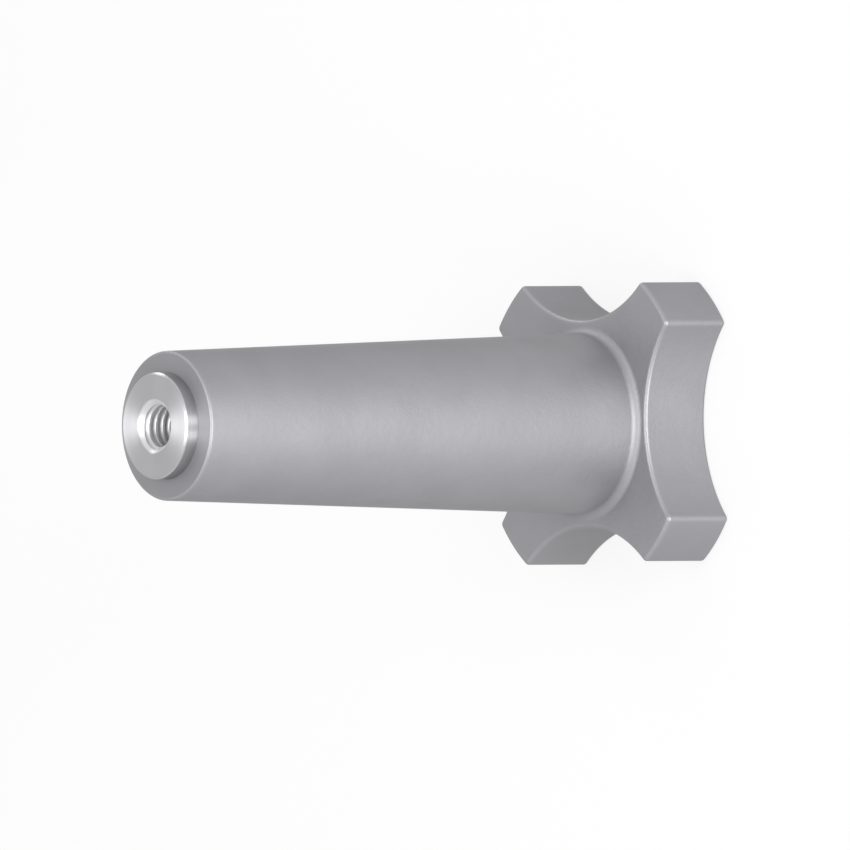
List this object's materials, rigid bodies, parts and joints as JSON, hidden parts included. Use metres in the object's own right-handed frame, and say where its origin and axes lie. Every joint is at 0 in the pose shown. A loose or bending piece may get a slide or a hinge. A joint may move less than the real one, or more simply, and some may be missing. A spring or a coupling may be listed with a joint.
{
  "type": "slicer support knob",
  "caption": "Long tapered support knob with a lobed grip head at one end and a threaded metal insert standing proud of the other.",
  "frame": {"origin": "centre of the flat face of the head, on which the knob stands", "axes": "+Z along the knob's axis, from the head to the threaded end; +X and +Y through the bottoms of two neighbouring hollows of the head"},
  "size_m": [0.052, 0.052, 0.1143],
  "materials": {
    "cast_body": "satin",
    "turned_insert": "machined"
  },
  "bodies": {
    "root": {"knob_body": "cast_body", "threaded_insert": "turned_insert"}
  },
  "joints": []
}
